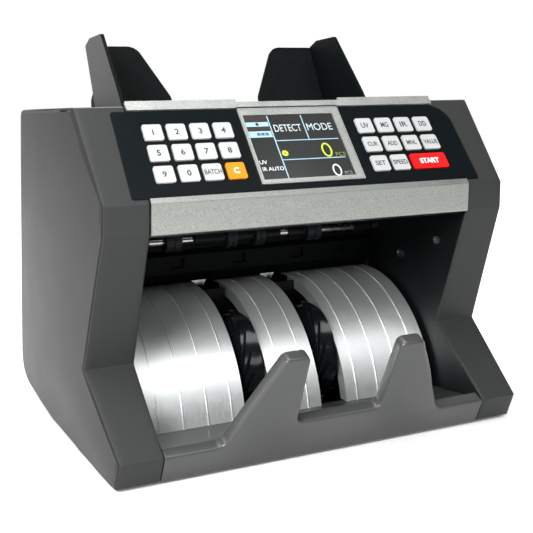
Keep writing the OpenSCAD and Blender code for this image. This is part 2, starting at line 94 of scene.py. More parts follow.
# ---------------------------------------------------------------- materials
def new_material(name, colour, roughness, metallic=0.0, coat=0.0, coat_roughness=0.1, specular=0.5):
    mat = bpy.data.materials.new(name)
    mat.use_nodes = True
    shader = mat.node_tree.nodes["Principled BSDF"]
    shader.inputs["Base Color"].default_value = (*colour, 1)
    shader.inputs["Roughness"].default_value = roughness
    shader.inputs["Metallic"].default_value = metallic
    shader.inputs["Coat Weight"].default_value = coat
    shader.inputs["Coat Roughness"].default_value = coat_roughness
    shader.inputs["Specular IOR Level"].default_value = specular
    return mat


def noise(mat, scale, stretch=(1, 1, 1), detail=3.0):
    """A noise texture in object coordinates; stretch above 1 makes it finer along that axis."""
    nodes, links = mat.node_tree.nodes, mat.node_tree.links
    place = nodes.new("ShaderNodeTexCoord")
    mapping = nodes.new("ShaderNodeMapping")
    texture = nodes.new("ShaderNodeTexNoise")
    mapping.inputs["Scale"].default_value = stretch
    texture.inputs["Scale"].default_value = scale
    texture.inputs["Detail"].default_value = detail
    links.new(place.outputs["Object"], mapping.inputs["Vector"])
    links.new(mapping.outputs["Vector"], texture.inputs["Vector"])
    return texture.outputs["Fac"]


def vary(mat, socket, source, low, high, start=0.3, end=0.7):
    """Drives one shader input from a texture, between two values."""
    nodes, links = mat.node_tree.nodes, mat.node_tree.links
    shader = nodes["Principled BSDF"]
    if socket == "Base Color":
        ramp = nodes.new("ShaderNodeValToRGB")
        ramp.color_ramp.elements[0].position = start
        ramp.color_ramp.elements[1].position = end
        ramp.color_ramp.elements[0].color = (*low, 1)
        ramp.color_ramp.elements[1].color = (*high, 1)
        links.new(source, ramp.inputs["Fac"])
        links.new(ramp.outputs["Color"], shader.inputs[socket])
    else:
        span = nodes.new("ShaderNodeMapRange")
        span.inputs["From Min"].default_value = start
        span.inputs["From Max"].default_value = end
        span.inputs["To Min"].default_value = low
        span.inputs["To Max"].default_value = high
        links.new(source, span.inputs["Value"])
        links.new(span.outputs["Result"], shader.inputs[socket])


def bump(mat, source, strength, distance):
    nodes, links = mat.node_tree.nodes, mat.node_tree.links
    node = nodes.new("ShaderNodeBump")
    node.inputs["Strength"].default_value = strength
    node.inputs["Distance"].default_value = distance
    links.new(source, node.inputs["Height"])
    links.new(node.outputs["Normal"], nodes["Principled BSDF"].inputs["Normal"])


def plastic(name, colour, roughness, grain=2500, depth=0.00006, spread=0.05, **more):
    """Moulded plastic: fine spark-eroded grain, slight patches in colour and gloss."""
    mat = new_material(name, colour, roughness, **more)
    bump(mat, noise(mat, grain, detail=2), 0.35, depth)
    patches = noise(mat, 18, detail=4)
    vary(mat, "Base Color", patches, [c * (1 - spread) for c in colour], [c * (1 + spread) for c in colour])
    vary(mat, "Roughness", noise(mat, 30), roughness - 0.012, roughness + 0.015)
    return mat


def brushed(name, colour, roughness, stretch, depth=0.00004, grain=120, spread=0.1, metallic=1.0):
    """Brushed metal: streaks that run along the axis with the smallest stretch."""
    mat = new_material(name, colour, roughness, metallic=metallic)
    streaks = noise(mat, grain, stretch, detail=4)
    bump(mat, streaks, 0.3, depth)
    vary(mat, "Roughness", streaks, roughness - 0.07, roughness + 0.09)
    vary(mat, "Base Color", streaks, [c * (1 - spread) for c in colour], colour)
    return mat


def sparkling(name, colour, roughness):
    """Painted metal with fine bright flakes."""
    mat = new_material(name, colour, roughness, metallic=0.85)
    flakes = noise(mat, 1400, detail=1)
    bump(mat, flakes, 0.5, 0.00006)
    vary(mat, "Base Color", flakes, [c * 0.82 for c in colour], [c * 1.16 for c in colour], 0.35, 0.65)
    vary(mat, "Roughness", noise(mat, 90), roughness - 0.05, roughness + 0.06)
    return mat


MATERIALS = {
    "panel_grey": plastic("panel_grey", (0.0140, 0.0145, 0.0135), 0.46, specular=0.13, spread=0.02),
    "cheek_grey": plastic("cheek_grey", (0.026, 0.027, 0.027), 0.36, specular=0.12, spread=0.02),
    "bar_grey": plastic("bar_grey", (0.036, 0.037, 0.037), 0.30, specular=0.5, spread=0.02),
    "black_plastic": plastic("black_plastic", (0.0030, 0.0037, 0.0042), 0.42, specular=0.15),
    "gloss_black": plastic("gloss_black", (0.004, 0.005, 0.006), 0.20, grain=300, depth=0.00002, coat=0.4),
    "membrane": plastic("membrane", (0.0024, 0.0040, 0.0046), 0.30, grain=4000, depth=0.00001, specular=0.08),
    "key_white": plastic("key_white", (0.35, 0.36, 0.36), 0.42, spread=0.03),
    "key_orange": plastic("key_orange", (0.62, 0.185, 0.004), 0.42, specular=0.25, spread=0.04),
    "key_red": plastic("key_red", (0.62, 0.002, 0.003), 0.42, specular=0.25, spread=0.04),
    "screen": plastic("screen", (0.022, 0.023, 0.023), 0.16, grain=1500, depth=0.00001, spread=0.05,
                      coat=0.1, specular=0.2),
    "brushed_trim": sparkling("brushed_trim", (0.42, 0.435, 0.415), 0.38),
    "top_trim": sparkling("top_trim", (0.46, 0.475, 0.455), 0.38),
    "lip_trim": sparkling("lip_trim", (0.28, 0.295, 0.275), 0.38),
    "plate_steel": brushed("plate_steel", (0.86, 0.88, 0.885), 0.42, (10, 1, 1), 0.000008, 160, 0.03, 0.85),
    "rib_steel": brushed("rib_steel", (0.86, 0.88, 0.88), 0.22, (10, 1, 1), 0.000004, 160, 0.04),
    "shaft_steel": brushed("shaft_steel", (0.55, 0.54, 0.52), 0.22, (1, 20, 20)),
    "frame_steel": brushed("frame_steel", (0.42, 0.43, 0.44), 0.4, (1, 1, 12)),
    "roller_rubber": plastic("roller_rubber", (0.006, 0.009, 0.010), 0.6, grain=1800, specular=0.3),
    "foot_rubber": plastic("foot_rubber", (0.015, 0.015, 0.015), 0.8, grain=1500),
    "board_green": plastic("board_green", (0.02, 0.12, 0.05), 0.3, grain=900),
    "screw_steel": brushed("screw_steel", (0.50, 0.50, 0.51), 0.3, (8, 1, 1)),
    "clip_steel": brushed("clip_steel", (0.8, 0.8, 0.8), 0.25, (8, 1, 8)),
    "guide_black": plastic("guide_black", (0.0016, 0.0026, 0.0029), 0.50, specular=0.07),
    "guide_grey": plastic("guide_grey", (0.038, 0.039, 0.037), 0.45, specular=0.2, spread=0.05),
    # grey for thin lines of painted shade: the bezel's groove and the strip beside each plate rib
    "groove_grey": plastic("groove_grey", (0.10, 0.10, 0.10), 0.5, grain=3000),
    "ink_black": plastic("ink_black", (0.015, 0.015, 0.017), 0.5, grain=3000),
    "ink_white": plastic("ink_white", (0.8, 0.8, 0.8), 0.5, grain=3000),
    "lcd_blue": plastic("lcd_blue", (0.27, 0.42, 0.52), 0.4, grain=3000),
    "lcd_white": plastic("lcd_white", (0.62, 0.68, 0.72), 0.4, grain=3000),
    "lcd_green": plastic("lcd_green", (0.40, 0.50, 0.02), 0.4, grain=3000),
    "lcd_pale": plastic("lcd_pale", (0.40, 0.47, 0.48), 0.4, grain=3000),
    "lcd_olive": plastic("lcd_olive", (0.16, 0.19, 0.02), 0.4, grain=3000),
    "lcd_brown": plastic("lcd_brown", (0.020, 0.013, 0.012), 0.4, grain=3000),
    "lcd_slate": plastic("lcd_slate", (0.05, 0.09, 0.11), 0.4, grain=3000),
    "lcd_grey": plastic("lcd_grey", (0.16, 0.19, 0.21), 0.4, grain=3000),
}


def finish_nodes():
    """Gives every CAD node its material, and a fine edge radius to the hard ones."""
    slots = {s["node"]: s["material_slot"] for s in frame["record"]["subparts"]}
    soft_edges = {"keypad_membrane": 0.0003, "display_bezel": 0.0004, "top_trim": 0.0006,
                  "front_lip_trim": 0.0010, "rear_cover": 0.001,
                  "hopper_deck": 0.0006, "note_path_guide": 0.0008, "panel_screws": 0.0003,
                  "power_switch": 0.0005, "power_inlet": 0.0004, "left_guide": 0.0008, "right_guide": 0.0008}
    for name, node in frame["nodes"].items():
        node.data.materials.clear()
        node.data.materials.append(MATERIALS[REPAINT.get(name, slots[name])])
        width = 0.0006 if name.startswith("key_") else soft_edges.get(name)
        if width:
            edge = node.modifiers.new("edge radius", "BEVEL")
            edge.width = width
            edge.segments = 3
            edge.limit_method = "ANGLE"
            edge.angle_limit = math.radians(35)
        node.data.shade_smooth()
        node.data.set_sharp_from_angle(angle=math.radians(30))


REPAINT = {"left_guide": "guide_black", "right_guide": "guide_black", "note_path_guide": "guide_black",
           "hopper_deck": "guide_black", "front_lip_trim": "lip_trim", "top_trim": "top_trim"}

# ---------------------------------------------------------------- mesh helpers
def make_piece(name, verts, faces, material, body="chassis", smooth=35, extra=(), marks=None):
    """A mesh piece on a body. extra adds more material slots; marks gives a slot number per face."""
    mesh = bpy.data.meshes.new(name)
    mesh.from_pydata([tuple(v) for v in verts], [], faces)
    for slot_name in (material, *extra):
        mesh.materials.append(MATERIALS[slot_name])
    for i, mark in enumerate(marks or []):
        mesh.polygons[i].material_index = mark
    work = bmesh.new()
    work.from_mesh(mesh)
    bmesh.ops.remove_doubles(work, verts=work.verts, dist=2e-6)
    bmesh.ops.dissolve_degenerate(work, edges=work.edges, dist=1e-6)
    bmesh.ops.recalc_face_normals(work, faces=work.faces)
    work.to_mesh(mesh)
    work.free()
    return add_mesh(name, mesh, body, smooth)


def add_mesh(name, mesh, body, smooth=35):
    """Adds a mesh laid out from the middle of the body, and moves it to its place in the frame."""
    mesh.transform(Matrix.Translation((0, BODY_Y, 0)))
    mesh.shade_smooth()
    mesh.set_sharp_from_angle(angle=math.radians(smooth))
    piece = bpy.data.objects.new(name, mesh)
    scene.collection.objects.link(piece)
    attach(piece, body)
    return piece


def half_width(y, z):
    """Half the body's width at a point of its side: the bulge, drawn in softly below."""
    wide = HALF_W - CROWN_R + math.sqrt(CROWN_R ** 2 - (y - CROWN_Y) ** 2)
    low = FOOT_HALF + (HALF_W - FOOT_HALF) * (z - FOOT_H) / (CROWN_Z - FOOT_H)
    soft = 0.0016
    return (wide + low - math.sqrt((wide - low) ** 2 + soft ** 2)) / 2


def corner_arc(before, here, after, r, steps):
    """The points of a rounded corner at here."""
    to_a, to_b = Vector(before) - Vector(here), Vector(after) - Vector(here)
    half = to_a.angle(to_b) / 2
    reach = min(r / math.tan(half), to_a.length * 0.45, to_b.length * 0.45)
    r = reach * math.tan(half)
    a, b = to_a.normalized(), to_b.normalized()
    centre = Vector(here) + (a + b).normalized() * (r / math.sin(half))
    start, end = Vector(here) + a * reach - centre, Vector(here) + b * reach - centre
    turn = start.angle(end)
    return [centre + (start * math.sin(turn * (1 - k / steps)) + end * math.sin(turn * k / steps))
            / math.sin(turn) for k in range(steps + 1)]


def rounded(points, radii, steps=5):
    """A closed outline with rounded corners; radii is one number, or one per point."""
    out = []
    for i, p in enumerate(points):
        r = radii[i] if isinstance(radii, (list, tuple)) else radii
        if r <= 0:
            out.append(Vector(p))
        else:
            out += corner_arc(points[i - 1], p, points[(i + 1) % len(points)], r, steps)
    return out


def area_of(points):
    return sum(a.cross(b) for a, b in zip(points, points[1:] + points[:1])) / 2


def inset(points, amounts):
    """Moves each point of a closed outline inwards along its mitre."""
    side = 1 if area_of(points) > 0 else -1
    out = []
    for i, p in enumerate(points):
        a = (p - points[i - 1]).normalized()
        b = (points[(i + 1) % len(points)] - p).normalized()
        na, nb = Vector((-a.y, a.x)) * side, Vector((-b.y, b.x)) * side
        mitre = na + nb
        out.append(p + mitre * (amounts[i] / max(mitre.dot(na), 0.3)))
    return out


def rim_rings(outline, x_of, edges, outward, steps=4):
    """Rings of a rounded rim that ends at x_of(y, z) and is rounded by edges, from the outside in."""
    rings = []
    for k in range(steps + 1):
        a = math.pi / 2 * k / steps
        pulled = inset(outline, [e * (1 - math.cos(a)) for e in edges])
        rings.append([(x_of(*p) - outward * e * (1 - math.sin(a)), q.x, q.y)
                      for p, q, e in zip(outline, pulled, edges)])
    return rings


def stitch(rings, faces, offset=0):
    """Adds the faces between closed rings of the same length."""
    n = len(rings[0])
    for r in range(len(rings) - 1):
        for i in range(n):
            j = (i + 1) % n
            near, far = offset + r * n, offset + (r + 1) * n
            faces.append((near + i, near + j, far + j, far + i))


def slab(name, outline, x_from, x_to, edge, material, body="chassis", steps=4):
    """A flat slab between two x, both of whose rims are rounded."""
    low, high = sorted((x_from, x_to))
    edges = [edge] * len(outline)
    rings = list(reversed(rim_rings(outline, lambda y, z: low, edges, -1, steps)))
    rings += rim_rings(outline, lambda y, z: high, edges, 1, steps)
    n = len(outline)
    faces = [tuple(reversed(range(n))), tuple(range((len(rings) - 1) * n, len(rings) * n))]
    stitch(rings, faces)
    return make_piece(name, [v for ring in rings for v in ring], faces, material, body, smooth=40)


def panel_prism(name, outlines, n_low, n_high, material, body="chassis", edge=0.0):
    """Closed prisms on the control panel from (x, t) outlines, with an optional chamfer on top."""
    verts, faces = [], []
    for outline in outlines:
        base = len(verts)
        n = len(outline)
        rings = [(n_low, outline), (n_high - edge, outline)]
        if edge:
            rings.append((n_high, inset(outline, [edge] * n)))
        for height, ring in rings:
            verts += [on_panel(p.x, p.y, height) for p in ring]
        faces += [tuple(base + i for i in reversed(range(n))),
                  tuple(base + (len(rings) - 1) * n + i for i in range(n))]
        stitch(rings_of(verts, base, n), faces, base)
    return make_piece(name, verts, faces, material, body)


def rings_of(verts, base, n):
    return [verts[i:i + n] for i in range(base, len(verts), n)]


def rectangle(x0, x1, t0, t1, r=0.0):
    corners = [(x0, t0), (x1, t0), (x1, t1), (x0, t1)]
    return rounded(corners, r, 4) if r else [Vector(p) for p in corners]


def ellipse(x, t, rx, rt, count=40):
    angles = [2 * math.pi * i / count for i in range(count)]
    return [Vector((x + rx * math.cos(a), t + rt * math.sin(a))) for a in angles]


def lettering(name, text, x, t, height, n, material, body="chassis", width=None, bold=0.0, thick=0.00005):
    """Printed characters on the control panel, centred on x, with their foot at t."""
    curve = bpy.data.curves.new(name, "FONT")
    curve.body, curve.size, curve.extrude, curve.offset = text, 1.0, 0.01, bold
    curve.resolution_u = 4
    draft = bpy.data.objects.new(name + "_draft", curve)
    scene.collection.objects.link(draft)
    mesh = bpy.data.meshes.new_from_object(draft.evaluated_get(bpy.context.evaluated_depsgraph_get()))
    bpy.data.objects.remove(draft)
    xs, ys = [v.co.x for v in mesh.vertices], [v.co.y for v in mesh.vertices]
    tall = height / (max(ys) - min(ys))
    wide = width / (max(xs) - min(xs)) if width else tall
    for v in mesh.vertices:
        across = (v.co.x - (max(xs) + min(xs)) / 2) * wide
        v.co = on_panel(x + across, t - (v.co.y - min(ys)) * tall, n + (thick if v.co.z > 0 else -thick))
    mesh.materials.clear()
    mesh.materials.append(MATERIALS[material])
    work = bmesh.new()
    work.from_mesh(mesh)
    bmesh.ops.remove_doubles(work, verts=work.verts, dist=1e-7)
    bmesh.ops.recalc_face_normals(work, faces=work.faces)
    work.to_mesh(mesh)
    work.free()
    return add_mesh(name, mesh, body, 30)


# ---------------------------------------------------------------- body shell
def side_panel(side, word):
    """A bulging side panel with a rounded rim, set back a little behind the cheek's face."""
    gap = 0.0016
    corners = [Vector(p) for p in FRONT + BELLY + [REAR_LOW, REAR_TOP]]
    back = [gap] * 5 + [0.0003] + [0.0] * (len(corners) - 6)
    corners = inset(corners, back)
    corners[0] = Vector((EDGE_TOP[0] + gap * 1.6, EDGE_TOP[1]))
    radii = [0.002, 0.002, 0.002, 0.002, 0.002, 0.0015] + [0.012] * len(BELLY) + [0.012, 0.007]
    outline = rounded(corners, radii, 5)
    rim = [0.0005 if p.x < -0.06 else 0.0026 for p in outline]
    n = len(outline)
    rings = rim_rings(outline, half_width, rim, 1, 5)
    rings.insert(0, [(half_width(*p) - 0.003, p.x, p.y) for p in outline])
    work = bmesh.new()
    verts = [[work.verts.new((side * x, y, z)) for x, y, z in ring] for ring in rings]
    for low, high in zip(verts, verts[1:]):
        for i in range(n):
            work.faces.new((low[i], low[(i + 1) % n], high[(i + 1) % n], high[i]))
    for ring, depth in ((verts[-1], 0.0), (verts[0], 0.003)):
        cap = work.faces.new(ring)
        split_cap(work, cap, lambda y, z: side * (half_width(y, z) - depth))
    bmesh.ops.recalc_face_normals(work, faces=work.faces)
    mesh = bpy.data.meshes.new(f"{word}_side_shell")
    work.to_mesh(mesh)
    work.free()
    for slot_name in ("panel_grey", "black_plastic"):
        mesh.materials.append(MATERIALS[slot_name])
    for face in mesh.polygons:
        if face.center.y < -0.05 and abs(face.normal.x) < 0.3 and face.center.z > 0.004:
            face.material_index = 1
    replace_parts(add_mesh(f"{word}_side_shell", mesh, "chassis", 40), f"{word}_side_panel")


def split_cap(work, cap, x_of, pitch=0.006):
    """Cuts a cap face into a fine grid, and lays it on the bulge."""
    geom = [cap, *cap.edges, *cap.verts]
    for normal, low, high in (((0, 1, 0), -0.120, 0.146), ((0, 0, 1), 0.003, 0.233)):
        for i in range(1, int((high - low) / pitch)):
            place = Vector(normal) * (low + i * pitch)
            geom = bmesh.ops.bisect_plane(work, geom=geom, plane_co=place, plane_no=normal)["geom"]
    for v in geom:
        if isinstance(v, bmesh.types.BMVert) and any(len(e.link_faces) > 1 for e in v.link_edges):
            if not v.is_boundary:
                v.co.x = x_of(v.co.y, v.co.z)


def front_skin(side, word):
    """The wrapped front of a cheek: a thin skin with rounded creases and rims, and its inner wall."""
    thick, steps = 0.0015, 5
    line = [(-0.030, EDGE_TOP[1])] + FRONT + [(-0.030, FOOT_H)]
    radii = [0, 0.0035, 0.0016, 0.0012, 0.0008, 0.0011, 0.0016, 0]
    closed = [Vector(p) for p in line]
    inner = inset(closed, [thick] * len(closed))
    inner[0], inner[-1] = Vector((-0.030, EDGE_TOP[1] - thick)), Vector((-0.030, FOOT_H + thick))
    outer, lining = [closed[0]], [inner[0]]
    for i in range(1, len(line) - 1):
        outer += corner_arc(line[i - 1], line[i], line[i + 1], radii[i], steps)
        lining += [inner[i]] * (steps + 1)
    outer.append(closed[-1])
    lining.append(inner[-1])
    m = len(outer)
    outline = outer + lining[::-1]
    edge_in, edge_out = 0.0012, 0.0004
    rings = []
    for k in range(5):
        a = math.pi / 2 * k / 4
        pulled = pull(outline, m, edge_in * (1 - math.sin(a)))
        rings.append([(INNER + edge_in * (1 - math.cos(a)), q.x, q.y) for q in pulled])
    for k in range(1, 8):
        rings.append([(INNER + (half_width(*p) - 0.0008 - INNER) * k / 8, p.x, p.y) for p in outline])
    for k in range(5):
        a = math.pi / 2 * k / 4
        pulled = pull(outline, m, edge_out * (1 - math.cos(a)))
        rings.append([(half_width(*p) - 0.0004 - edge_out * (1 - math.sin(a)), q.x, q.y)
                      for p, q in zip(outline, pulled)])
    verts = [(side * x, y, z) for ring in rings for x, y, z in ring]
    faces, n = [], 2 * m
    stitch(rings, faces)
    marks = [0] * len(faces)
    last = (len(rings) - 1) * n
    for i in range(m - 1):
        faces += [(i, i + 1, n - 2 - i, n - 1 - i),
                  (last + n - 1 - i, last + n - 2 - i, last + i + 1, last + i)]
        marks += [0, 1]
    skin = make_piece(f"{word}_cheek_skin", verts, faces, "cheek_grey", smooth=40,
                      extra=["black_plastic"], marks=marks)
    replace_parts(skin, f"{word}_front_cheek")
    back, top, low = 0.029, EDGE_TOP[1] - 0.003, 0.0055
    under_skin = inset([Vector(p) for p in line], [0.0012] * len(line))[1:-1]
    wall = [Vector((back, top)), Vector((-0.030, top)), *under_skin,
            Vector((-0.0295, FOOT_H + 0.0012)), Vector((-0.0295, low)), Vector((back, low))]
    slab(f"{word}_cheek_wall", wall, side * INNER, side * (INNER + 0.0025), 0.0001, "black_plastic")


def pull(outline, m, amount):
    """Moves only the outer half of a skin's outline inwards."""
    return inset(outline, [amount if i < m else 0.0 for i in range(len(outline))])


def cavity_lining():
    """Black walls behind the wheels, behind the wheel channels and under the plates' flat tails."""
    stacker = wall_outline(0.0135, 0.0150, 0.0170, 0.0925)
    slab("stacker_back_wall", stacker, -INNER + 0.0005, INNER - 0.0005, 0.0002, "black_plastic")
    under = wall_outline(0.0390, 0.0404, 0.0600, 0.0936)
    slab("tail_wall", under, -INNER + 0.0005, INNER - 0.0005, 0.0002, "black_plastic")
    for word, x0 in (("left", -0.0403), ("right", 0.0197)):
        back = wall_outline(0.0362, 0.0376, 0.0700, 0.0957)
        slab(f"{word}_channel_back", back, x0, x0 + 0.0206, 0.0002, "black_plastic")


def wall_outline(y0, y1, z0, z1):
    return [Vector(p) for p in ((y0, z0), (y1, z0), (y1, z1), (y0, z1))]


def stacker_bar():
    """The front bar with its two fingers: a thick leaning plate with rolled edges, and the tray behind it."""
    lean, thick = math.atan2(TOE_LOW[0] - TOE_TOP[0], TOE_TOP[1] - TOE_LOW[1]), 0.009
    half = [(0.1196, 0), (0.1196, 0.0193), (0.0806, 0.0193), (0.0503, 0.0845), (0.0333, 0.0845),
            (0.0312, 0.0297)]
    turns = [0, 0.0012, 0.0075, 0.0052, 0.0045, 0.0045]
    corners = half + [(-x, h) for x, h in reversed(half)]
    outline = rounded(corners, turns + turns[::-1], 6)
    soft = [0.0003 if p.y < 0.001 or abs(p.x) > 0.119 else 0.0024 for p in outline]
    rings, steps = [], 6
    for k in range(steps + 1):
        a = math.pi / 2 * k / steps
        pulled = inset(outline, [e * (1 - math.sin(a)) for e in soft])
        rings.append([(q, e * (1 - math.cos(a))) for q, e in zip(pulled, soft)])
    for k in range(steps + 1):
        a = math.pi / 2 * k / steps
        pulled = inset(outline, [0.4 * e * (1 - math.cos(a)) for e in soft])
        rings.append([(q, thick - 0.4 * e * (1 - math.sin(a))) for q, e in zip(pulled, soft)])
    verts = []
    for ring in rings:
        for q, depth in ring:
            h = q.y if q.y > 0.0005 else -depth * math.tan(lean)
            verts.append((q.x, TOE_LOW[0] - h * math.sin(lean) + depth * math.cos(lean),
                          TOE_LOW[1] + h * math.cos(lean) + depth * math.sin(lean)))
    n, faces = len(outline), []
    stitch(rings_of(verts, 0, n), faces)
    faces += [tuple(reversed(range(n))), tuple(range((len(rings) - 1) * n, len(rings) * n))]
    bar = make_piece("stacker_bar", verts, faces, "bar_grey", smooth=50)
    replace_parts(bar, "stacker_front_bar")
    tray_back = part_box("stacker_front_bar")[1].y - BODY_Y
    tray = [Vector(p) for p in ((-0.1135, 0.0190), (tray_back, 0.0150), (tray_back, 0.0120),
                                (-0.1105, 0.0150))]
    slab("stacker_tray", tray, -INNER + 0.0005, INNER - 0.0005, 0.0003, "cheek_grey")


# ---------------------------------------------------------------- control panel
def key_grid():
    """Each key as (node name, legend, column x, row, width in pitches)."""
    keys = [(f"key_{(i + 1) % 10}", str((i + 1) % 10), LEFT_X0 + (i % 4) * KEY_PITCH, i // 4, 1)
            for i in range(10)]
    keys.append(("key_batch", "BATCH", LEFT_X0 + 2 * KEY_PITCH, 2, 1))
    keys.append(("key_clear", "C", LEFT_X0 + 3 * KEY_PITCH, 2, 1))
    words = [("uv", "UV"), ("mg", "MG"), ("ir", "IR"), ("dd", "DD"), ("currency", "CUR"), ("add", "ADD"),
             ("manual", "MNL"), ("value", "VALUE"), ("set", "SET"), ("speed", "SPEED"), ("start", "START")]
    for i, (node, word) in enumerate(words):
        span = 2 if node == "start" else 1
        keys.append((f"key_{node}", word, RIGHT_X0 + (i % 4) * KEY_PITCH, i // 4, span))
    return keys


def key_legends():
    for node, word, x0, row, span in key_grid():
        width = KEY_W + (span - 1) * KEY_PITCH
        x, foot = x0 + width / 2, KEYS_T0 + row * KEY_PITCH + KEY_H / 2
        tall = 0.0045 if len(word) < 3 else 0.0038
        wide = {1: None, 2: 0.0062, 3: 0.0082, 5: 0.0118}[len(word)]
        if node == "key_start":
            tall, wide = 0.0044, 0.0162
        ink = "ink_white" if node in ("key_start", "key_clear") else "ink_black"
        bold = 0.03 if ink == "ink_white" else 0.018
        lettering(f"{node}_legend", word, x, foot + tall / 2, tall, KEY_TOP, ink, f"{node}_cap", wide, bold)


def at_screen(across, down):
    return (SCREEN_X[0] + across * (SCREEN_X[1] - SCREEN_X[0]),
            SCREEN_T[0] + down * (SCREEN_T[1] - SCREEN_T[0]))


def screen_bar(a0, a1, d0, d1):
    (x0, t0), (x1, t1) = at_screen(a0, d0), at_screen(a1, d1)
    return rectangle(x0, x1, t0, t1)


def screen_word(name, text, across, foot, height, width, material, bold=0.0):
    x, t = at_screen(across, foot)
    tall, wide = height * (SCREEN_T[1] - SCREEN_T[0]), width * (SCREEN_X[1] - SCREEN_X[0])
    lettering(name, text, x, t, tall, SCREEN_N + 0.00004, material, width=wide, bold=bold, thick=0.00004)


def screen_zero(name, across, down, height, width, material, stroke):
    """A counter digit as an upright oval ring."""
    x, t = at_screen(across, down)
    rx, rt = width * (SCREEN_X[1] - SCREEN_X[0]) / 2, height * (SCREEN_T[1] - SCREEN_T[0]) / 2
    count, verts, faces = 48, [], []
    for dx, height_n in ((0, 0.0), (0, 0.00008), (stroke, 0.00008), (stroke, 0.0)):
        verts += [on_panel(p.x, p.y, SCREEN_N + height_n) for p in ellipse(x, t, rx - dx, rt - dx, count)]
    stitch([verts[i * count:(i + 1) * count] for i in range(4)], faces)
    faces += [(3 * count + i, 3 * count + (i + 1) % count, (i + 1) % count, i) for i in range(count)]
    make_piece(name, verts, faces, material)


def display_graphics():
    low, high = SCREEN_N - 0.00002, SCREEN_N + 0.00008
    lines = [screen_bar(0.257, 0.268, 0.01, 0.995), screen_bar(0.268, 0.965, 0.406, 0.418),
             screen_bar(0.632, 0.642, 0.01, 0.406), screen_bar(0.268, 0.965, 0.705, 0.717)]
    panel_prism("screen_lines", lines, low, high, "lcd_blue")
    panel_prism("screen_bands", [screen_bar(0.004, 0.25, 0.11, 0.18), screen_bar(0.004, 0.25, 0.255, 0.352)],
                low, high, "lcd_blue")
    dark = [screen_bar(0.004, 0.25, 0.012, 0.1), screen_bar(0.004, 0.25, 0.188, 0.247)]
    panel_prism("screen_dark_bands", dark, low, high, "lcd_brown")
    x, t = at_screen(0.127, 0.145)
    on_top = (high - 0.00004, high + 0.00004)
    panel_prism("screen_band_mark", [ellipse(x, t, 0.0012, 0.0014, 16)], *on_top, "ink_black")
    marks = [screen_bar(0.09 + 0.045 * i, 0.125 + 0.045 * i, 0.28, 0.325) for i in range(3)]
    panel_prism("screen_band_bars", marks, *on_top, "lcd_slate")
    screen_word("screen_detect", "DETECT", 0.447, 0.27, 0.112, 0.30, "lcd_pale")
    screen_word("screen_mode", "MODE", 0.805, 0.265, 0.112, 0.285, "lcd_pale")
    screen_word("screen_uv", "UV", 0.054, 0.762, 0.056, 0.08, "lcd_white")
    screen_word("screen_ir_auto", "IR AUTO", 0.135, 0.865, 0.056, 0.225, "lcd_white")
    screen_word("screen_pieces_1", "PCS", 0.925, 0.69, 0.06, 0.11, "lcd_olive")
    screen_word("screen_pieces_2", "PCS", 0.93, 0.98, 0.05, 0.085, "lcd_grey")
    screen_zero("screen_count", 0.787, 0.585, 0.225, 0.112, "lcd_green", 0.0013)
    screen_zero("screen_total", 0.815, 0.905, 0.185, 0.095, "lcd_white", 0.0010)
    x, t = at_screen(0.318, 0.61)
    teeth = [Vector((x + r * math.cos(a), t + r * math.sin(a)))
             for i in range(16) for r, a in ((0.0026 if i % 2 else 0.0021, math.pi * i / 8),)]
    panel_prism("screen_sun", [teeth], low, high, "lcd_green")
    panel_prism("screen_sun_eye", [ellipse(x, t, 0.0006, 0.0006, 12)], *on_top, "ink_black")
    # a thin grey line just inside the bezel's edge, painted shade for the bezel's groove
    groove = 0.0008
    x0, x1, t0, t1 = BEZEL_X[0] + groove, BEZEL_X[1] - groove, BEZEL_T[0] + groove, BEZEL_T[1] - groove
    line = 0.00022
    frame_lines = [rectangle(x0, x0 + line, t0, t1), rectangle(x1 - line, x1, t0, t1),
                   rectangle(x0, x1, t0, t0 + line), rectangle(x0, x1, t1 - line, t1)]
    panel_prism("bezel_groove", frame_lines, BEZEL_N - 0.0001, BEZEL_N + 0.00003, "groove_grey")


# ---------------------------------------------------------------- stacker
def impeller_leaf(turn, x_mid):
    """One curved leaf of a wheel: out from the hub, then round in a slow spiral to a narrow tip."""
    steps, verts = 34, []
    for i in range(steps + 1):
        s = i / steps
        rise, run = min(s / 0.15, 1), max(s - 0.15, 0) / 0.85
        r = 0.0092 + 0.0108 * rise + (WHEEL_R - 0.0200) * run ** 0.9
        a = turn - math.radians(18) * rise - math.radians(168) * run
        half = WHEEL_W / 2 * (1 - 0.8 * max(0, (run - 0.72) / 0.28) ** 1.6)
        thick = 0.0009 * (1 - 0.45 * run)
        out = Vector((0, math.cos(a), math.sin(a)))
        place = Vector((x_mid, WHEEL_C[0], WHEEL_C[1])) + out * r
        flare = 0.0010 * math.sin(math.pi * run)
        for depth in (0, thick):
            for share in (-1, -0.5, 0.5, 1):
                dish = flare * (0.6 * share - (1 - share * share) * 0.6)
                verts.append(place + Vector((half * share, 0, 0)) + out * (dish - depth - 0.0006))
    faces = []
    for i in range(steps):
        b, c = i * 8, i * 8 + 8
        for k in range(3):
            faces.append((b + k, b + k + 1, c + k + 1, c + k))
            faces.append((b + 4 + k + 1, b + 4 + k, c + 4 + k, c + 4 + k + 1))
        faces += [(b + 4, b, c, c + 4), (b + 3, b + 7, c + 7, c + 3)]
    for b, flip in ((0, 1), (steps * 8, -1)):
        for k in range(3):
            faces.append((b + k, b + 4 + k, b + 5 + k, b + k + 1)[::flip])
    return verts, faces


def lathe(rings, centre, count=48):
    """A closed body turned about the X axis from (x, radius) rings."""
    verts, faces = [], []
    for x, r in rings:
        turns = [2 * math.pi * i / count for i in range(count)]
        verts += [(x, centre[0] + r * math.cos(a), centre[1] + r * math.sin(a)) for a in turns]
    stitch([verts[i * count:(i + 1) * count] for i in range(len(rings))], faces)
    faces += [tuple(reversed(range(count))), tuple(range((len(rings) - 1) * count, len(rings) * count))]
    return verts, faces


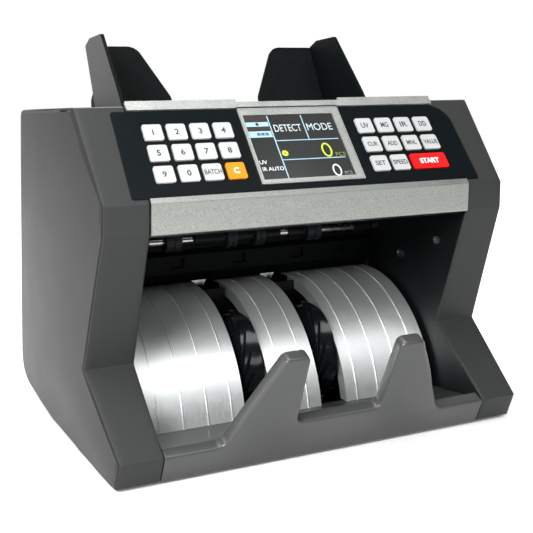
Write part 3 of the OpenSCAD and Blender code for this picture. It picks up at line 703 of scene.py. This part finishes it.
def merge(parts):
    verts, faces = [], []
    for v, f in parts:
        faces += [tuple(i + len(verts) for i in face) for face in f]
        verts += v
    return verts, faces


def impellers():
    made = []
    for side, word in ((-1, "left"), (1, "right")):
        x, leaves = side * WHEEL_X, 14
        parts = [impeller_leaf(2 * math.pi * (i + 0.35) / leaves, x) for i in range(leaves)]
        half = WHEEL_W / 2
        hub = [(x - half, 0.0085), (x - half + 0.0006, 0.0098), (x - 0.001, 0.0102), (x + 0.001, 0.0102),
               (x + half - 0.0006, 0.0098), (x + half, 0.0085)]
        parts.append(lathe(hub, WHEEL_C))
        verts, faces = merge(parts)
        mesh = bpy.data.meshes.new(f"{word}_impeller")
        mesh.from_pydata([tuple(v) for v in verts], [], faces)
        mesh.materials.append(MATERIALS["gloss_black"])
        wheel = add_mesh(f"{word}_impeller", mesh, "stacker_rotor", 50)
        made.append(wheel)
    for wheel in made:
        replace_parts(wheel, "impeller_wheels")


def shaft_shade_sleeves():
    """Black sleeves over most of the transport shaft, painted shade for the dark inside of the machine, that
    leave short bright lengths of the shaft bare.
    """
    parts = []
    end_r, r, chamfer = 0.0042, 0.0048, 0.0006
    for x0, x1 in ((-0.117, -0.079), (-0.0655, -0.0535), (-0.043, -0.0175), (-0.007, 0.007),
                   (0.0175, 0.031), (0.0385, 0.0525), (0.099, 0.117)):
        rings = [(x0, end_r), (x0 + chamfer, r), ((x0 + x1) / 2, r), (x1 - chamfer, r), (x1, end_r)]
        parts.append(lathe(rings, TRANSPORT_C, 32))
    verts, faces = merge(parts)
    make_piece("transport_shade_sleeves", verts, faces, "black_plastic", "transport_rotor")


def channel_clips():
    """Bright folded brackets that hold the plates, at the back of both wheel channels."""
    for word, x0 in (("left", -0.0395), ("right", 0.0200)):
        x1, z = x0 + 0.0130, 0.0985
        mid = x0 + 0.0075
        top = [(x0, z), (x1, z), (x1, z - 0.0010), (mid + 0.0035, z - 0.0042), (mid + 0.0028, z - 0.0060),
               (mid + 0.0008, z - 0.0060), (mid, z - 0.0042), (mid - 0.0012, z - 0.0060),
               (mid - 0.0030, z - 0.0052), (x0, z - 0.0014)]
        verts = [(x, y, height) for y in (0.0335, 0.0342) for x, height in top]
        n = len(top)
        faces = [tuple(range(n)), tuple(reversed(range(n, 2 * n)))]
        faces += [(i, i + n, (i + 1) % n + n, (i + 1) % n) for i in range(n)]
        make_piece(f"{word}_channel_clip", verts, faces, "clip_steel")


def plate_ribs():
    """Half-round ribs that run over the plates, each with a thin dark strip beside it, painted shade for the
    rib's shaded flank.
    """
    for word, columns in (("left", (-0.104, -0.086, -0.068, -0.050)), ("middle", (-0.0093, 0.0093)),
                          ("right", (0.050, 0.068, 0.086, 0.104))):
        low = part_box(f"stacker_plate_{word}")[0].z + 0.0008
        start, end = math.radians(89), math.asin((low - PLATE_C[1]) / PLATE_R)
        kinds = (("rib", "rib_steel", 0.0, 0.00055, 0.00075),
                 # the second kind is the thin dark strip of painted shade beside each rib
                 ("groove", "groove_grey", -0.00085, 0.00022, 0.00008))
        for kind, material, shift, half, proud in kinds:
            parts = [arc_strip(x + shift, half, proud, start, end) for x in columns]
            verts, faces = merge(parts)
            make_piece(f"{word}_plate_{kind}s", verts, faces, material, smooth=60)


def arc_strip(x, half, proud, start, end, steps=40):
    """A low half-round strip along a plate's arc, closed at its ends."""
    verts, faces, n = [], [], 5
    for i in range(steps + 1):
        a = start + (end - start) * i / steps
        for k in range(n):
            b = math.pi * k / (n - 1)
            r = PLATE_R + proud * math.sin(b) - 0.0001
            verts.append((x + half * math.cos(b), PLATE_C[0] - r * math.cos(a), PLATE_C[1] + r * math.sin(a)))
    for i in range(steps):
        for k in range(n):
            faces.append((i * n + k, i * n + (k + 1) % n, (i + 1) * n + (k + 1) % n, (i + 1) * n + k))
    faces += [tuple(range(n)), tuple(reversed(range(steps * n, (steps + 1) * n)))]
    return verts, faces


# ---------------------------------------------------------------- hopper guides
def guide_faces():
    """Grey outer faces on the hopper guides."""
    for side, word in ((-1, "left"), (1, "right")):
        node = frame["nodes"][f"{word}_guide"]
        node.data.materials.append(MATERIALS["guide_grey"])
        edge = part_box(f"{word}_guide")[0 if side < 0 else 1].x
        for face in node.data.polygons:
            if abs(face.center.x - edge) < 1e-4 and face.normal.x * side > 0.9:
                face.material_index = 1


def guide_ribs():
    """Fine upright ribs on the front of each guide's back plate."""
    foot = Vector((0, 0.0585, 0.211))
    lean = math.atan2(0.012, 0.0255)
    up, out = Vector((0, math.sin(lean), math.cos(lean))), Vector((0, -math.cos(lean), math.sin(lean)))
    face = foot + out * 0.0044
    top, corner, inner_edge, low = 0.0776, 0.0617, 0.039, 0.031
    for side, word in ((-1, "left"), (1, "right")):
        parts = []
        x = 0.0985
        while x > inner_edge + 0.002:
            reach = top - 0.003
            if x < corner + 0.008:
                climb = (top - low) / (corner - inner_edge)
                reach = min(reach, low + (x - inner_edge - 0.0015) * climb - 0.001)
                reach = min(reach, top - 0.003 - (corner + 0.008 - x) * 0.25)
            parts.append(rib(face, up, out, side * x, 0.002, reach))
            x -= 0.0022
        verts, faces = merge(parts)
        make_piece(f"{word}_guide_ribs", verts, faces, "guide_black", f"{word}_guide", 60)


def rib(face, up, out, x, low, high):
    """One rounded rib: a low half-round bar with tapered ends."""
    verts, faces, n = [], [], 5
    half, proud = 0.00062, 0.00045
    stations = ((low, 0.2), (low + 0.001, 1), ((low + high) / 2, 1), (high - 0.001, 1), (high, 0.2))
    for height, share in stations:
        for k in range(n):
            a = math.pi * k / (n - 1)
            verts.append(face + up * height + Vector((x + half * math.cos(a), 0, 0))
                         + out * (proud * share * math.sin(a) - 0.0001))
    for r in range(4):
        for k in range(n):
            faces.append((r * n + k, r * n + (k + 1) % n, (r + 1) * n + (k + 1) % n, (r + 1) * n + k))
    faces += [tuple(range(n)), tuple(reversed(range(4 * n, 5 * n)))]
    return verts, faces


# ---------------------------------------------------------------- camera, light, floor
def camera_and_lights():
    azimuth, elevation, roll = math.radians(25.55), math.radians(2.22), math.radians(-1.33)
    ahead = Vector((math.sin(azimuth) * math.cos(elevation), math.cos(azimuth) * math.cos(elevation),
                    -math.sin(elevation)))
    right = Vector((math.cos(azimuth), -math.sin(azimuth), 0))
    up = right.cross(ahead)
    x_axis = right * math.cos(roll) + up * math.sin(roll)
    y_axis = up * math.cos(roll) - right * math.sin(roll)
    data = bpy.data.cameras.new("camera")
    data.sensor_width = 36
    data.lens = 65.9
    data.shift_x = 0.0101
    data.shift_y = -0.2247
    data.clip_start = 0.02
    camera = bpy.data.objects.new("camera", data)
    scene.collection.objects.link(camera)
    turn = Matrix((x_axis, y_axis, -ahead)).transposed().to_4x4()
    camera.matrix_world = Matrix.Translation((-0.315, BODY_Y - 0.6755, 0.2299)) @ turn
    scene.camera = camera

    def area(name, place, aim, size, watts):
        lamp = bpy.data.lights.new(name, "AREA")
        lamp.shape = "RECTANGLE"
        lamp.size, lamp.size_y = size
        lamp.energy = watts
        thing = bpy.data.objects.new(name, lamp)
        scene.collection.objects.link(thing)
        thing.location = place
        thing.rotation_euler = (Vector(aim) - Vector(place)).to_track_quat("-Z", "Y").to_euler()

    area("left_softbox", (-1.5, 0.20, 0.75), (0, 0.05, 0.1), (1.2, 1.1), 16)
    area("front_softbox", (0.25, -1.15, 1.35), (0, -0.05, 0.05), (1.4, 1.1), 14)
    area("left_front_lamp", (-0.75, -0.70, 0.60), (-0.1, 0, 0.1), (0.35, 0.5), 18)
    area("top_softbox", (-0.30, -0.3, 1.6), (-0.05, 0, 0.1), (0.8, 0.7), 18)
    area("floor_light", (0, 1.6, 1.9), (0, 0.2, 0), (2.2, 1.2), 50)
    scene.world = studio_world(Vector((math.sin(azimuth), math.cos(azimuth), 0)))
    scene.view_settings.view_transform = "Standard"


def studio_world(ahead):
    """White behind the object and dim in front of it; the backdrop itself shows plain white."""
    world = bpy.data.worlds.new("studio")
    world.use_nodes = True
    nodes, links = world.node_tree.nodes, world.node_tree.links
    place = nodes.new("ShaderNodeTexCoord")
    facing = nodes.new("ShaderNodeVectorMath")
    facing.operation = "DOT_PRODUCT"
    facing.inputs[1].default_value = ahead
    span = nodes.new("ShaderNodeMapRange")
    span.inputs["From Min"].default_value = 0.1
    span.inputs["From Max"].default_value = 0.8
    span.inputs["To Min"].default_value = 0.05
    span.inputs["To Max"].default_value = 0.9
    path = nodes.new("ShaderNodeLightPath")
    mix = nodes.new("ShaderNodeMix")
    mix.inputs["B"].default_value = 1.0
    links.new(place.outputs["Generated"], facing.inputs[0])
    links.new(facing.outputs["Value"], span.inputs["Value"])
    links.new(path.outputs["Is Camera Ray"], mix.inputs["Factor"])
    links.new(span.outputs["Result"], mix.inputs["A"])
    links.new(mix.outputs["Result"], nodes["Background"].inputs["Strength"])
    nodes["Background"].inputs["Color"].default_value = (1, 1, 1, 1)
    return world


def floor():
    """A pale floor that runs out into the white of the backdrop."""
    mesh = bpy.data.meshes.new("floor")
    mesh.from_pydata([(-6, -6, 0), (6, -6, 0), (6, 6, 0), (-6, 6, 0)], [], [(0, 1, 2, 3)])
    ground = bpy.data.objects.new("floor", mesh)
    scene.collection.objects.link(ground)
    mat = new_material("floor_white", (0.8, 0.8, 0.8), 0.6, specular=0.2)
    vary(mat, "Roughness", noise(mat, 3), 0.55, 0.65)
    nodes, links = mat.node_tree.nodes, mat.node_tree.links
    place = nodes.new("ShaderNodeTexCoord")
    distance = nodes.new("ShaderNodeVectorMath")
    distance.operation = "DOT_PRODUCT"
    distance.inputs[1].default_value = (0.43, 0.90, 0)
    span = nodes.new("ShaderNodeMapRange")
    span.interpolation_type = "SMOOTHSTEP"
    span.inputs["From Min"].default_value = -0.15
    span.inputs["From Max"].default_value = 0.75
    span.inputs["To Min"].default_value = 0.12
    span.inputs["To Max"].default_value = 0.75
    links.new(place.outputs["Object"], distance.inputs[0])
    links.new(distance.outputs["Value"], span.inputs["Value"])
    shader = nodes["Principled BSDF"]
    shader.inputs["Emission Color"].default_value = (1, 1, 1, 1)
    links.new(span.outputs["Result"], shader.inputs["Emission Strength"])
    mesh.materials.append(mat)


finish_nodes()
for side, word in ((-1, "left"), (1, "right")):
    side_panel(side, word)
    front_skin(side, word)
cavity_lining()
stacker_bar()
key_legends()
display_graphics()
impellers()
plate_ribs()
shaft_shade_sleeves()
channel_clips()
guide_faces()
guide_ribs()
camera_and_lights()
floor()
